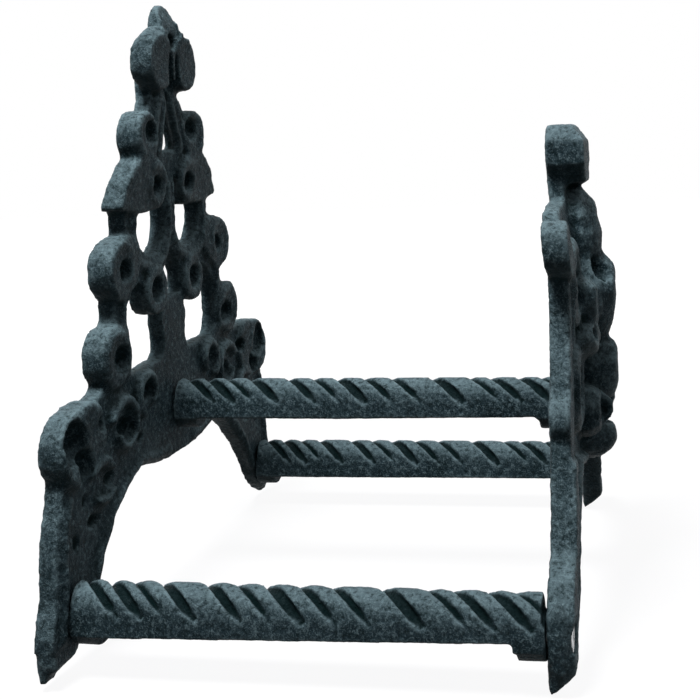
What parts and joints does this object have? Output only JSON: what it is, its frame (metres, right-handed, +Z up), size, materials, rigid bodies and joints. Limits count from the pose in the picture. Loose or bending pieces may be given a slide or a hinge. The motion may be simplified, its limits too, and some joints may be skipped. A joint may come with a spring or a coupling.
{
  "type": "hose hanger",
  "caption": "Wall-mounted cast-iron hose hanger: openwork scroll back plate, lower front plate and twisted bars between them that carry the coiled hose.",
  "frame": {"origin": "on the wall face, halfway between the two lower wall holes", "axes": "+Z up, -Y out from the wall towards the front plate, X along the plates' width"},
  "size_m": [0.238, 0.2005, 0.251],
  "materials": {
    "iron": "rough sand casting under thin blue-black paint",
    "zinc": "dull zinc plating"
  },
  "bodies": {
    "root": {"wall_plate": "iron", "front_plate": "iron", "left_bar": "iron", "right_bar": "iron", "top_bar": "iron", "wall_screw_left": "zinc", "wall_screw_right": "zinc", "wall_screw_top": "zinc", "front_screw_left": "zinc", "front_screw_right": "zinc", "front_screw_top": "zinc"}
  },
  "joints": []
}
